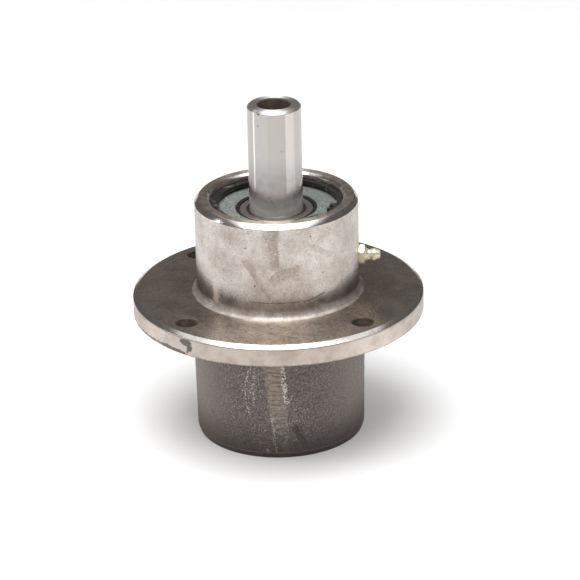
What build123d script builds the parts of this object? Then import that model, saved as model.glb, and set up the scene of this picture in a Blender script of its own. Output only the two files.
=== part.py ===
from build123d import *
from math import atan, cos, pi, radians, sin, sqrt, tan
import os

# Mower deck spindle, in millimetres. It stands on the housing's lower rim at z = 0, +Z runs up the spindle's axis
# to the pulley end, +X points at the grease fitting, and the four bolt holes lie at 45 degrees to X and Y.
# The two ends of the housing hold the same seal and bearing set, turned over.

os.makedirs("parts", exist_ok=True)

# Housing casting
housing_height = 133.5
upper_tube_r = 43.65
rim_chamfer_width = 2.25
rim_chamfer_height = 2.5
lower_tube_top_r = 46.4
lower_tube_end_r = 45.35
foot_chamfer_width = 1.05
foot_chamfer_height = 2.9
flange_r = 78.15
flange_bottom_z = 69.1
flange_thickness = 11.2
flange_chamfer_width = 2.65
flange_chamfer_height = 1.6
upper_fillet_r = 4.5
lower_fillet_r = 4.0
web_bore_r = 31.0
mouth_chamfer = 1.25

# Bolt holes
bolt_edge_distance = 12.65
bolt_hole_d = 11.5
bolt_hole_count = 4
bolt_first_azimuth = 45.0
bolt_hole_chamfer = 0.6

# Fits
press_gap = 0.02
running_gap = 0.05
slip_gap = 0.03

# Shaft
pulley_end_d = 28.575
journal_d = 31.75
shaft_bore_d = 17.4
pulley_end_length = 59.4
shoulder_inset = 0.6
shaft_chamfer = 1.25
shaft_bore_chamfer = 0.5
shaft_foot_chamfer = 0.8

# Bushings and spacer
bushing_d = 39.52
bushing_recess = 7.2
bushing_chamfer = 0.5
spacer_d = 38.1
spacer_chamfer = 0.6

# Shaft seals
seal_ledge = 1.13
seal_recess = 6.6
seal_width = 5.5
seal_metal = 1.2
seal_corner_r = 0.8
lip_outer_r = 21.8
lip_flange_r = 23.4
lip_body_r = 22.6
lip_waist_r = 21.0
lip_flange_thickness = 0.9
lip_depth = 4.9
garter_wire_r = 0.65
garter_depth = 3.6

# Retaining rings
ring_thickness = 2.4
ring_depth = 3.1
ring_side_play = 0.1
groove_depth = 1.65
ring_bottom_play = 0.1
ring_width_at_ends = 4.5
ring_width_at_back = 6.2
ring_gap_azimuth = -32.4
ring_gap_angle = 18.0
ring_lug_angle = 16.0
ring_lug_width = 7.9
ring_lug_hole_d = 3.0
ring_lug_corner_r = 1.0

# Tapered roller bearings
bearing_inset = 0.25
bearing_d = 69.0
bearing_width = 19.85
cup_width = 15.9
cone_width = 19.6
bearing_corner = 1.2
roller_count = 13
roller_d = 10.1
roller_length = 14.0
roller_tilt = 14.5
roller_pitch_r = 25.0
roller_shift = 0.5
roller_corner = 0.5
roller_play = 0.05
rib_play = 0.2
back_rib_height = 2.4
front_rib_height = 0.9
cage_sheet = 1.0
cage_offset = 1.9
cage_back_rim = 1.6
cage_flange_reach = 2.2
pocket_play = 0.15
pocket_corner = 0.1

# Grease fitting and its valve
thread_d = 9.6
thread_hole_wall = 1.63
thread_hole_play = 0.05
thread_hole_end = 0.5
thread_mouth_chamfer = 0.5
grease_passage_d = 3.0
passage_wall = 0.55
hex_across_flats = 10.0
hex_stand_off = 0.3
hex_height = 2.6
hex_corner_chamfer = 0.4
neck_d = 5.4
neck_end = 6.1
head_d = 6.6
head_belly = 8.2
fitting_length = 11.4
fitting_tip_d = 4.2
fitting_mouth_d = 1.9
fitting_mouth_depth = 0.5
valve_bore_d = 2.7
valve_bore_start = 2.5
fitting_passage_d = 1.8
check_ball_d = 2.4
ball_seat_gap = 0.03
check_spring_wire_d = 0.4
check_spring_d = 2.3
check_spring_turns = 6

# Places worked out from the sizes above
mid_z = housing_height / 2
flange_top_z = flange_bottom_z + flange_thickness
seal_face_z = housing_height - seal_recess
seal_seat_z = seal_face_z - seal_width
cone_back_z = seal_seat_z - bearing_inset
cone_front_z = cone_back_z - cone_width
cup_seat_z = cone_back_z - bearing_width
bushing_face_z = housing_height - bushing_recess
shoulder_z = bushing_face_z - shoulder_inset
shaft_foot_z = housing_height - shoulder_z
shaft_top_z = shoulder_z + pulley_end_length
journal_r = journal_d / 2
bushing_r = bushing_d / 2
cup_bore_r = bearing_d / 2 + press_gap
seal_bore_r = cup_bore_r + seal_ledge
bolt_circle_d = 2 * (flange_r - bolt_edge_distance)
thread_length = upper_tube_r - cup_bore_r - thread_hole_wall - thread_hole_end
groove_r = seal_bore_r + groove_depth
grease_z = cup_seat_z - passage_wall - grease_passage_d / 2

# Rolling geometry: every roller axis, the cup's track and the cone's track meet in one apex on the spindle's axis
tilt = radians(roller_tilt)
roller_mid_s = roller_pitch_r / sin(tilt)
half_taper = atan(roller_d / 2 / roller_mid_s)
roller_near_s = roller_mid_s - roller_length / 2
roller_far_s = roller_mid_s + roller_length / 2
apex_z = cup_seat_z + cup_width / 2 + roller_shift - roller_mid_s * cos(tilt)


def turned(points):
    """Solid turned about the Z axis from a closed outline of (radius, height) points."""
    return revolve(Plane.XZ * make_face(Polyline(*points, close=True)), Axis.Z)


def round_edges(solid, radius, height):
    """The circular edges about the Z axis that a turned solid has at one radius and height."""
    return [
        edge
        for edge in solid.edges().filter_by(GeomType.CIRCLE)
        if abs(edge.radius - radius) < 0.005 and abs(edge.arc_center.Z - height) < 0.005
    ]


def turned_over(solid):
    """The same piece fitted at the lower end: turned half round an X line through the housing's middle."""
    return Pos(0, 0, mid_z) * Rot(180, 0, 0) * Pos(0, 0, -mid_z) * solid


def at_roller(s, t):
    """Radius and height of a point s along a roller axis from the apex and t outwards from that axis."""
    return s * sin(tilt) + t * cos(tilt), apex_z + s * cos(tilt) - t * sin(tilt)


def track_radius(angle, height):
    """Radius, at one height, of the cone of this half angle about the spindle's axis from the apex."""
    return (height - apex_z) * tan(angle)


def make_housing():
    """Cast body: machined tube over the flange, drafted rough tube under it, stepped bore right through."""
    flange_mid_z = flange_bottom_z + flange_thickness / 2
    upper_tube = turned([
        (0, flange_mid_z),
        (upper_tube_r, flange_mid_z),
        (upper_tube_r, housing_height),
        (0, housing_height),
    ])
    lower_tube = turned([
        (0, 0),
        (lower_tube_end_r - foot_chamfer_width, 0),
        (lower_tube_end_r, foot_chamfer_height),
        (lower_tube_top_r, flange_bottom_z),
        (lower_tube_top_r, flange_mid_z),
        (0, flange_mid_z),
    ])
    flange = turned([
        (0, flange_bottom_z),
        (flange_r, flange_bottom_z),
        (flange_r, flange_top_z - flange_chamfer_height),
        (flange_r - flange_chamfer_width, flange_top_z),
        (0, flange_top_z),
    ])
    body = upper_tube + lower_tube + flange
    body = fillet(round_edges(body, upper_tube_r, flange_top_z), upper_fillet_r)
    body = fillet(round_edges(body, lower_tube_top_r, flange_bottom_z), lower_fillet_r)
    rim_cut = turned([
        (upper_tube_r - rim_chamfer_width, housing_height),
        (upper_tube_r + rim_chamfer_width, housing_height),
        (upper_tube_r + rim_chamfer_width, housing_height - rim_chamfer_height),
        (upper_tube_r, housing_height - rim_chamfer_height),
    ])
    body -= rim_cut

    ring_groove_top = housing_height - ring_depth + ring_side_play
    ring_groove_foot = ring_groove_top - ring_thickness - 2 * ring_side_play
    upper_bore = [
        (seal_bore_r + mouth_chamfer, housing_height),
        (seal_bore_r, housing_height - mouth_chamfer),
        (seal_bore_r, ring_groove_top),
        (groove_r, ring_groove_top),
        (groove_r, ring_groove_foot),
        (seal_bore_r, ring_groove_foot),
        (seal_bore_r, seal_seat_z),
        (cup_bore_r, seal_seat_z),
        (cup_bore_r, cup_seat_z),
        (web_bore_r, cup_seat_z),
    ]
    lower_bore = [(radius, housing_height - height) for radius, height in reversed(upper_bore)]
    body -= turned([(0, housing_height), *upper_bore, *lower_bore, (0, 0)])

    for index in range(bolt_hole_count):
        azimuth = bolt_first_azimuth + index * 360 / bolt_hole_count
        place = Rot(0, 0, azimuth) * Pos(bolt_circle_d / 2, 0, flange_mid_z)
        body -= place * Cylinder(bolt_hole_d / 2, 2 * flange_thickness)
    for height in (flange_top_z, flange_bottom_z):
        body = chamfer(round_edges(body, bolt_hole_d / 2, height), bolt_hole_chamfer)

    thread_hole_r = thread_d / 2 + thread_hole_play
    thread_foot = -thread_length - thread_hole_end
    mouth_r = thread_hole_r + thread_mouth_chamfer
    passage_end = -(upper_tube_r - web_bore_r) - grease_passage_d
    body -= fitting_place() * turned([
        (0, passage_end),
        (grease_passage_d / 2, passage_end),
        (grease_passage_d / 2, thread_foot),
        (thread_hole_r, thread_foot),
        (thread_hole_r, -thread_mouth_chamfer),
        (mouth_r, 0),
        (mouth_r, fitting_length),
        (0, fitting_length),
    ])
    return body


def make_shaft():
    """Hollow spindle: bearing journal below the shoulder, smaller pulley end above it, bolt bore right through."""
    pulley_r = pulley_end_d / 2
    bore_r = shaft_bore_d / 2
    return turned([
        (bore_r + shaft_bore_chamfer, shaft_foot_z),
        (journal_r - shaft_foot_chamfer, shaft_foot_z),
        (journal_r, shaft_foot_z + shaft_foot_chamfer),
        (journal_r, shoulder_z),
        (pulley_r, shoulder_z),
        (pulley_r, shaft_top_z - shaft_chamfer),
        (pulley_r - shaft_chamfer, shaft_top_z),
        (bore_r + shaft_bore_chamfer, shaft_top_z),
        (bore_r, shaft_top_z - shaft_bore_chamfer),
        (bore_r, shaft_foot_z + shaft_bore_chamfer),
    ])


def make_bushing():
    """Hardened sleeve between the bearing cone and the pulley, on which the seal runs."""
    return turned([
        (journal_r + slip_gap, cone_back_z),
        (bushing_r - bushing_chamfer, cone_back_z),
        (bushing_r, cone_back_z + bushing_chamfer),
        (bushing_r, bushing_face_z - bushing_chamfer),
        (bushing_r - bushing_chamfer, bushing_face_z),
        (journal_r + slip_gap, bushing_face_z),
    ])


def make_spacer():
    """Sleeve that holds the two bearing cones apart."""
    lower_end = housing_height - cone_front_z
    return turned([
        (journal_r + slip_gap, lower_end),
        (spacer_d / 2 - spacer_chamfer, lower_end),
        (spacer_d / 2, lower_end + spacer_chamfer),
        (spacer_d / 2, cone_front_z - spacer_chamfer),
        (spacer_d / 2 - spacer_chamfer, cone_front_z),
        (journal_r + slip_gap, cone_front_z),
    ])


def make_cup():
    """Outer race, its track opening towards the housing's end."""
    cup_front_z = cup_seat_z + cup_width
    outer_r = bearing_d / 2
    track_angle = tilt + half_taper
    return turned([
        (track_radius(track_angle, cup_seat_z), cup_seat_z),
        (outer_r - bearing_corner, cup_seat_z),
        (outer_r, cup_seat_z + bearing_corner),
        (outer_r, cup_front_z - bearing_corner / 2),
        (outer_r - bearing_corner / 2, cup_front_z),
        (track_radius(track_angle, cup_front_z), cup_front_z),
    ])


def make_cone():
    """Inner race: tapered track between a low rib at the small end and a high rib at the large end."""
    near_s = roller_near_s - rib_play
    far_s = roller_far_s + rib_play
    near_track = at_roller(near_s, -near_s * tan(half_taper))
    near_rib = at_roller(near_s, -near_s * tan(half_taper) + front_rib_height)
    far_track = at_roller(far_s, -far_s * tan(half_taper))
    far_rib = at_roller(far_s, -far_s * tan(half_taper) + back_rib_height)
    bore_r = journal_r + press_gap
    return turned([
        (bore_r, cone_front_z),
        (near_rib[0], cone_front_z),
        near_rib,
        near_track,
        far_track,
        far_rib,
        (far_rib[0], cone_back_z - bearing_corner / 2),
        (far_rib[0] - bearing_corner / 2, cone_back_z),
        (bore_r + bearing_corner, cone_back_z),
        (bore_r, cone_back_z - bearing_corner),
    ])


def roller_body(play, end_play, corner):
    """Tapered roller about its own axis; the plays are taken off its sides and ends."""
    near_s = roller_near_s + end_play
    far_s = roller_far_s - end_play
    near_r = near_s * tan(half_taper) - play
    far_r = far_s * tan(half_taper) - play
    return turned([
        (0, near_s),
        (near_r - corner, near_s),
        (near_r, near_s + corner),
        (far_r, far_s - corner),
        (far_r - corner, far_s),
        (0, far_s),
    ])


def roller_place(index):
    """Where roller number index lies in the upper bearing."""
    return Rot(0, 0, index * 360 / roller_count) * Pos(0, 0, apex_z) * Rot(0, roller_tilt, 0)


def make_roller(index):
    return roller_place(index) * roller_body(roller_play, 0, roller_corner)


def make_cage():
    """Pressed sheet basket that spaces the rollers: drafted wall with a pocket for each, rim and turned-in flange."""
    back_s = roller_far_s + cage_back_rim
    pocket_end = 2 * pocket_play
    flange_top_s = roller_near_s - 2 * pocket_end
    flange_foot_s = flange_top_s - cage_sheet
    outer_t = cage_offset + cage_sheet
    basket = turned([
        at_roller(flange_foot_s, -cage_flange_reach),
        at_roller(flange_foot_s, outer_t),
        at_roller(back_s, outer_t),
        at_roller(back_s, cage_offset),
        at_roller(flange_top_s, cage_offset),
        at_roller(flange_top_s, -cage_flange_reach),
    ])
    pocket = roller_body(-pocket_play, -pocket_end, pocket_corner)
    for index in range(roller_count):
        basket -= roller_place(index) * pocket
    return basket


def make_seal_case():
    """Stamped cup that presses into the housing, its flat face towards the housing's end."""
    outer_r = seal_bore_r - press_gap
    case = turned([
        (lip_outer_r, seal_face_z - seal_metal),
        (outer_r - seal_metal, seal_face_z - seal_metal),
        (outer_r - seal_metal, seal_seat_z),
        (outer_r, seal_seat_z),
        (outer_r, seal_face_z),
        (lip_outer_r, seal_face_z),
    ])
    return fillet(round_edges(case, outer_r, seal_face_z), seal_corner_r)


def garter_ring(wire_r):
    """Ring round the main lip, where the garter spring lies."""
    return Pos(0, 0, seal_face_z - garter_depth) * Torus(lip_body_r, wire_r)


def make_seal_lip():
    """Moulded rubber: dust lip at the face, main lip behind it, groove for the garter spring round the outside."""
    lip_r = bushing_r + running_gap
    foot_z = seal_face_z - lip_depth
    plate_z = seal_face_z - seal_metal
    waist_top_z = plate_z - 0.1 * lip_depth
    waist_foot_z = waist_top_z - 0.15 * lip_depth
    flange_foot_z = plate_z - lip_flange_thickness
    lip = turned([
        (lip_outer_r, seal_face_z),
        (lip_waist_r, seal_face_z),
        (lip_r, seal_face_z - 0.1 * lip_depth),
        (lip_r, seal_face_z - 0.2 * lip_depth),
        (lip_waist_r, waist_top_z),
        (lip_waist_r, waist_foot_z),
        (lip_r, seal_face_z - 0.65 * lip_depth),
        (lip_r, seal_face_z - 0.75 * lip_depth),
        (lip_waist_r, foot_z),
        (lip_body_r, foot_z),
        (lip_body_r, flange_foot_z),
        (lip_flange_r, flange_foot_z),
        (lip_flange_r, plate_z),
        (lip_outer_r, plate_z),
    ])
    return lip - garter_ring(garter_wire_r + press_gap)


def make_retaining_ring():
    """Internal snap ring, widest opposite its gap, with a drilled lug at each end for the pliers."""
    outer_r = groove_r - ring_bottom_play
    inner_r = outer_r - (ring_width_at_ends + ring_width_at_back) / 2
    inner_shift = (ring_width_at_back - ring_width_at_ends) / 2
    lug_r = outer_r - ring_lug_width
    lug_hole_r = (lug_r + inner_r + inner_shift) / 2
    half_gap = ring_gap_angle / 2

    def sector(start, end):
        """Wedge of the plane between two angles, longer than the ring's radius."""
        reach = 2 * outer_r
        corners = [(reach * cos(radians(angle)), reach * sin(radians(angle))) for angle in (start, end)]
        return make_face(Polyline((0, 0), *corners, close=True))

    outline = Circle(outer_r) - Pos(inner_shift, 0) * Circle(inner_r)
    lugs = (Circle(outer_r) - Circle(lug_r)) & (
        sector(half_gap, half_gap + ring_lug_angle) + sector(-half_gap - ring_lug_angle, -half_gap)
    )
    outline = (outline + lugs) - sector(-half_gap, half_gap)
    for side in (1, -1):
        azimuth = side * (half_gap + ring_lug_angle / 2)
        outline -= Rot(0, 0, azimuth) * Pos(lug_hole_r, 0) * Circle(ring_lug_hole_d / 2)
    ring = extrude(outline, ring_thickness)
    corners = [
        edge
        for edge in ring.edges().filter_by(Axis.Z)
        if edge.center().X > 0 and abs(Vector(edge.center().X, edge.center().Y).length - lug_r) < 0.1
    ]
    ring = fillet(corners, ring_lug_corner_r)
    return Pos(0, 0, housing_height - ring_depth - ring_thickness) * Rot(0, 0, ring_gap_azimuth) * ring


def fitting_place():
    """Where the grease fitting stands: its own Z runs out of the tube along +X."""
    return Pos(upper_tube_r, 0, grease_z) * Rot(0, 90, 0)


ball_seat_drop = sqrt((check_ball_d / 2 + ball_seat_gap) ** 2 - (fitting_mouth_d / 2) ** 2)
ball_centre = fitting_length - fitting_mouth_depth - ball_seat_drop


def make_fitting():
    """Threaded stem, hexagon, waisted neck and grease head, bored for the valve."""
    hex_top = hex_stand_off + hex_height
    corner_r = hex_across_flats / 2 / cos(pi / 6)
    stem = Pos(0, 0, -thread_length) * Cylinder(
        thread_d / 2, thread_length + hex_stand_off, align=(Align.CENTER, Align.CENTER, Align.MIN)
    )
    hexagon = Pos(0, 0, hex_stand_off) * extrude(RegularPolygon(corner_r, 6), hex_height)
    hexagon &= turned([
        (0, hex_stand_off),
        (corner_r - hex_corner_chamfer, hex_stand_off),
        (corner_r, hex_stand_off + hex_corner_chamfer),
        (corner_r, hex_top - hex_corner_chamfer),
        (corner_r - hex_corner_chamfer, hex_top),
        (0, hex_top),
    ])
    shoulder_r = hex_across_flats / 2
    neck_r = neck_d / 2
    outline = [
        Line((0, hex_top), (shoulder_r, hex_top)),
        SagittaArc((shoulder_r, hex_top), (neck_r, neck_end), -(neck_end - hex_top) / 6),
        SagittaArc((neck_r, neck_end), (head_d / 2, head_belly), (head_belly - neck_end) / 8),
        Line((head_d / 2, head_belly), (fitting_tip_d / 2, fitting_length)),
        Line((fitting_tip_d / 2, fitting_length), (0, fitting_length)),
        Line((0, fitting_length), (0, hex_top)),
    ]
    head = revolve(Plane.XZ * make_face(Curve() + outline), Axis.Z)
    body = stem + hexagon + head
    mouth_foot = fitting_length - fitting_mouth_depth
    body -= turned([
        (0, -thread_length),
        (fitting_passage_d / 2, -thread_length),
        (fitting_passage_d / 2, valve_bore_start),
        (valve_bore_d / 2, valve_bore_start),
        (valve_bore_d / 2, ball_centre),
        (fitting_mouth_d / 2, mouth_foot),
        (fitting_mouth_d / 2, fitting_length),
        (0, fitting_length),
    ])
    return fitting_place() * body


def make_check_ball():
    return fitting_place() * Pos(0, 0, ball_centre) * Sphere(check_ball_d / 2)


def make_check_spring():
    """Coil behind the ball, from the shoulder of the valve bore to the ball's back."""
    wire_r = check_spring_wire_d / 2
    coil_r = check_spring_d / 2 - wire_r
    reach = check_ball_d / 2 + wire_r + ball_seat_gap
    top = ball_centre - sqrt(reach**2 - coil_r**2)
    foot = valve_bore_start + wire_r + ball_seat_gap
    pitch = (top - foot) / check_spring_turns
    path = Helix(pitch, top - foot, coil_r)
    section = Plane(path @ 0, z_dir=path % 0) * Circle(wire_r)
    return fitting_place() * Pos(0, 0, foot) * sweep(section, path, is_frenet=True)


bushing = make_bushing()
cup = make_cup()
cone = make_cone()
cage = make_cage()
seal_case = make_seal_case()
seal_lip = make_seal_lip()
seal_spring = garter_ring(garter_wire_r)
retaining_ring = make_retaining_ring()

pieces = {
    "spindle_housing": make_housing(),
    "spindle_shaft": make_shaft(),
    "inner_spacer": make_spacer(),
    "grease_fitting_body": make_fitting(),
    "grease_check_ball": make_check_ball(),
    "grease_check_spring": make_check_spring(),
}
upper_set = {
    "bushing": bushing,
    "bearing_cup": cup,
    "bearing_cone": cone,
    "bearing_cage": cage,
    "seal_case": seal_case,
    "seal_lip": seal_lip,
    "seal_spring": seal_spring,
    "retaining_ring": retaining_ring,
}
for index in range(roller_count):
    upper_set[f"roller_{index + 1:02d}"] = make_roller(index)
for name, piece in upper_set.items():
    pieces[f"upper_{name}"] = piece
    pieces[f"lower_{name}"] = turned_over(piece)

for name, piece in pieces.items():
    export_step(piece, f"parts/{name}.step")
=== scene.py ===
from math import cos, pi, radians, sin

import bpy
from mathutils import Matrix, Vector


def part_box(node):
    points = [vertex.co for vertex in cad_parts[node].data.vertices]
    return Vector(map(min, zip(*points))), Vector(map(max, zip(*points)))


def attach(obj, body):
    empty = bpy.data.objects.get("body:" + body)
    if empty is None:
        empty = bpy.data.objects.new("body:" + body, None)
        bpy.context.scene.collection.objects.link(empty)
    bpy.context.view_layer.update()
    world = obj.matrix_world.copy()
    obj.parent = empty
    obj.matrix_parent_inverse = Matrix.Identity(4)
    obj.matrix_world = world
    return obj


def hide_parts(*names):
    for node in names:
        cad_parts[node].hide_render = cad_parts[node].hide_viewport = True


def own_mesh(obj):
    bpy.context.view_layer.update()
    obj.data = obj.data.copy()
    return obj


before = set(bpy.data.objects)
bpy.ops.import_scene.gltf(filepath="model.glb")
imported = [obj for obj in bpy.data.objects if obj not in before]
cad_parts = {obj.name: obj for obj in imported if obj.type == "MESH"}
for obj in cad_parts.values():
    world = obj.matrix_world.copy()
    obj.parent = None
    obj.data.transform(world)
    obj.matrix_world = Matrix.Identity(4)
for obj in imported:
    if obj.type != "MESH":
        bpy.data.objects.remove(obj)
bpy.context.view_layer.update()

# Mower deck spindle: a cast housing with a mounting flange, a hollow spindle on tapered roller bearings,
# shaft seals held by internal retaining rings, and a grease fitting. It stands on the housing's foot.

bl_info = {
    "name": "Mower Deck Spindle",
    "version": (1, 0, 0),
    "blender": (4, 5, 0),
    "location": "View3D > Sidebar > Spindle",
    "description": "Builds the finished mower deck spindle over its solid model",
    "category": "Object",
}

MM = 0.001
TOP_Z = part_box("spindle_housing")[1][2]
SHAFT_TOP_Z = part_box("spindle_shaft")[1][2]
SHAFT_FOOT_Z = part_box("spindle_shaft")[0][2]
MID_Z = TOP_Z / 2
ENDS = ("upper", "lower")


def srgb(red, green, blue):
    """A colour given as it looks on a screen, 0 to 255, as the linear colour that materials use."""
    return tuple(((c / 255 + 0.055) / 1.055) ** 2.4 if c > 10 else c / 255 / 12.92 for c in (red, green, blue)) + (1.0,)


# ---------------------------------------------------------------- sizes and colours


def length(name, description, millimetres):
    return bpy.props.FloatProperty(name=name, description=description, default=millimetres * MM, unit="LENGTH", precision=5)


def colour(name, description, red, green, blue):
    return bpy.props.FloatVectorProperty(
        name=name, description=description, default=srgb(red, green, blue), size=4, subtype="COLOR", min=0, max=1
    )


class SpindleSizes(bpy.types.PropertyGroup):
    upper_tube_radius: length("Machined tube radius", "Outside of the tube above the flange", 43.65)
    lower_tube_top_radius: length("Cast tube radius, top", "Outside of the rough tube under the flange", 46.4)
    lower_tube_end_radius: length("Cast tube radius, foot", "Outside of the rough tube above its foot chamfer", 45.35)
    flange_radius: length("Flange radius", "Outside of the mounting flange", 78.15)
    flange_bottom: length("Flange bottom", "Height of the flange's underside above the foot", 69.1)
    flange_thickness: length("Flange thickness", "Thickness of the mounting flange", 11.2)
    bolt_circle_radius: length("Bolt circle radius", "Radius on which the bolt holes lie", 65.5)
    bolt_hole_radius: length("Bolt hole radius", "Radius of the four bolt holes", 5.75)
    seal_bore_radius: length("Seal bore radius", "Bore that holds the shaft seal", 35.65)
    seal_depth: length("Seal depth", "How deep the seal's face lies below the rim", 6.6)
    shaft_radius: length("Shaft radius", "Pulley end of the shaft", 14.2875)
    journal_radius: length("Journal radius", "Shaft below the shoulder", 15.875)
    shaft_bore_radius: length("Shaft bore radius", "Hole right through the shaft", 8.7)
    cast_relief: length("Cast relief", "How rough the cast tube is", 0.16)


class SpindleColours(bpy.types.PropertyGroup):
    machined: colour("Machined tube", "Turned iron of the tube and the flange's edge", 238, 231, 225)
    stain: colour("Stain", "Brown oil and rust stain on the machined tube", 146, 120, 102)
    # Also the colour of painted shade and painted dark reflections: tube by the flange, shaft base, shoulder corner,
    # mouth chamfer, hole walls.
    grime_and_shade: colour("Grime", "Dark film and specks", 76, 68, 62)
    rim: colour("Rim", "Flat top of the rim", 204, 190, 178)
    bright_cut: colour("Bright cut", "Freshly cut chamfers", 216, 212, 208)
    flange_top: colour("Flange top", "Top of the flange", 178, 164, 152)
    flange_side: colour("Flange side", "Edge of the flange", 216, 204, 194)
    cast_dark: colour("Cast skin, dark", "Dark grains of the cast tube", 82, 73, 70)
    cast_light: colour("Cast skin, light", "Light grains of the cast tube", 134, 124, 119)
    ground: colour("Ground strip", "Strip ground along the cast tube", 160, 145, 129)
    chalk: colour("Chalk marks", "White marks on the cast tube", 226, 222, 214)
    rust: colour("Rust", "Reddish rust on the flange", 140, 72, 52)
    steel: colour("Ground steel", "Shaft and bearings", 216, 212, 209)
    sleeve: colour("Sleeve steel", "Bushings and spacer", 182, 172, 165)
    coating: colour("Seal coating", "Greenish grey coating of the seal cases", 122, 132, 125)
    rubber: colour("Seal rubber", "Black lips of the seals", 26, 26, 26)
    phosphate: colour("Black phosphate", "Retaining rings", 52, 48, 46)
    zinc: colour("Yellow zinc", "Grease fitting", 236, 226, 202)


# ---------------------------------------------------------------- finishes


class Finish:
    """A procedural material with one Principled shader, and the nodes that feed it."""

    def __init__(self, name):
        self.material = bpy.data.materials.new(name)
        self.material.use_nodes = True
        self.tree = self.material.node_tree
        self.shader = self.tree.nodes["Principled BSDF"]
        self.place = self.tree.nodes.new("ShaderNodeTexCoord").outputs["Object"]

    def node(self, kind, *inputs, **settings):
        made = self.tree.nodes.new(kind)
        for key, value in settings.items():
            setattr(made, key, value)
        for key, value in enumerate(inputs):
            self.feed(made.inputs[key], value)
        return made

    def feed(self, socket, value):
        if value is None:
            return
        if isinstance(value, bpy.types.NodeSocket):
            self.tree.links.new(value, socket)
        else:
            socket.default_value = value

    def math(self, operation, *values, clamp=False):
        return self.node("ShaderNodeMath", *values, operation=operation, use_clamp=clamp).outputs[0]

    def vector(self, operation, *values):
        made = self.node("ShaderNodeVectorMath", operation=operation)
        for key, value in enumerate(values):
            self.feed(made.inputs[key], value)
        return made.outputs["Value" if operation in ("LENGTH", "DOT_PRODUCT", "DISTANCE") else "Vector"]

    def scaled(self, vector, factor):
        made = self.node("ShaderNodeVectorMath", vector, operation="SCALE")
        made.inputs["Scale"].default_value = factor
        return made.outputs["Vector"]

    def split(self, vector):
        return self.node("ShaderNodeSeparateXYZ", vector).outputs

    def join(self, x, y, z):
        return self.node("ShaderNodeCombineXYZ", x, y, z).outputs[0]

    def noise(self, grain, detail=3.0, roughness=0.5, place=None, stretch=None, seed=0.0, out="Fac"):
        """Noise with grains of about this many millimetres; stretch makes them longer along an axis."""
        place = self.place if place is None else place
        if stretch or seed:
            moved = self.node("ShaderNodeMapping", place)
            moved.inputs["Location"].default_value = (seed, seed * 0.7, seed * 0.3)
            if stretch:
                moved.inputs["Scale"].default_value = tuple(1 / s for s in stretch)
            place = moved.outputs[0]
        made = self.node("ShaderNodeTexNoise", place)
        made.inputs["Scale"].default_value = 1 / (grain * MM)
        made.inputs["Detail"].default_value = detail
        made.inputs["Roughness"].default_value = roughness
        return made.outputs[out]

    def between(self, value, low, high, to_low=0.0, to_high=1.0, smooth=True):
        made = self.node("ShaderNodeMapRange", value, interpolation_type="SMOOTHSTEP" if smooth else "LINEAR")
        for key, number in (("From Min", low), ("From Max", high), ("To Min", to_low), ("To Max", to_high)):
            made.inputs[key].default_value = number
        return made.outputs[0]

    def mix(self, factor, first, second, how="MIX"):
        made = self.node("ShaderNodeMix", data_type="RGBA", blend_type=how)
        self.feed(made.inputs[0], factor)
        self.feed(made.inputs[6], first)
        self.feed(made.inputs[7], second)
        return made.outputs[2]

    def both(self, *masks):
        result = masks[0]
        for mask in masks[1:]:
            result = self.math("MULTIPLY", result, mask)
        return result

    def either(self, *masks):
        result = masks[0]
        for mask in masks[1:]:
            result = self.math("MAXIMUM", result, mask)
        return result

    def part_of(self, mask, share):
        return self.math("MULTIPLY", mask, share)

    def unrolled(self, radius, wander=0.0, grain=6.0):
        """The surface of a tube laid flat in millimetres: x round it from the front, y its height."""
        x, y, z = self.split(self.place)
        angle = self.math("ARCTAN2", x, self.math("MULTIPLY", y, -1.0))
        flat = self.join(self.math("MULTIPLY", angle, radius), self.math("MULTIPLY", z, 1000.0), 0.0)
        if wander:
            shift = self.vector("SUBTRACT", self.noise(grain, 3.0, 0.6, out="Color"), (0.5, 0.5, 0.5))
            flat = self.vector("ADD", flat, self.scaled(shift, 2 * wander))
        return flat

    def stroke(self, flat, start, end, width, soft=0.5):
        """Mask of a line from start to end on the flat surface, with soft edges."""
        along = (end[0] - start[0], end[1] - start[1], 0.0)
        size = along[0] ** 2 + along[1] ** 2
        offset = self.vector("SUBTRACT", flat, (start[0], start[1], 0.0))
        share = self.math("DIVIDE", self.vector("DOT_PRODUCT", offset, along), size, clamp=True)
        reach = self.node("ShaderNodeVectorMath", along, operation="SCALE")
        self.feed(reach.inputs["Scale"], share)
        away = self.vector("DISTANCE", offset, reach.outputs["Vector"])
        return self.between(away, width * (1 - soft), width * (1 + soft), 1.0, 0.0)

    def tide(self, flat, start, end, fade, crisp=0.35):
        """Mask of a stain that stops at a crisp line, and fades out to the left of the way from start to end."""
        along = (end[0] - start[0], end[1] - start[1])
        size = (along[0] ** 2 + along[1] ** 2) ** 0.5
        ahead = (along[0] / size, along[1] / size, 0.0)
        aside = (-ahead[1], ahead[0], 0.0)
        offset = self.vector("SUBTRACT", flat, (start[0], start[1], 0.0))
        run = self.vector("DOT_PRODUCT", offset, ahead)
        side = self.vector("DOT_PRODUCT", offset, aside)
        return self.both(
            self.between(side, -crisp, crisp), self.between(side, 0.0, fade, 1.0, 0.0),
            self.between(run, -2.5, 1.5), self.between(run, size - 1.5, size + 2.5, 1.0, 0.0),
        )

    def spot(self, flat, centre, across, tall, soft=0.5):
        """Mask of an oval on the flat surface."""
        offset = self.vector("SUBTRACT", flat, (centre[0], centre[1], 0.0))
        away = self.vector("LENGTH", self.vector("MULTIPLY", offset, (1 / across, 1 / tall, 0.0)))
        return self.between(away, 1 - soft, 1 + soft, 1.0, 0.0)

    def turned(self, pull):
        """Tool rings about the spindle's axis draw reflections out across them."""
        self.shader.inputs["Anisotropic"].default_value = pull
        self.shader.inputs["Anisotropic Rotation"].default_value = 0.25
        self.feed(self.shader.inputs["Tangent"], self.node("ShaderNodeTangent", direction_type="RADIAL", axis="Z").outputs[0])

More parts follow.
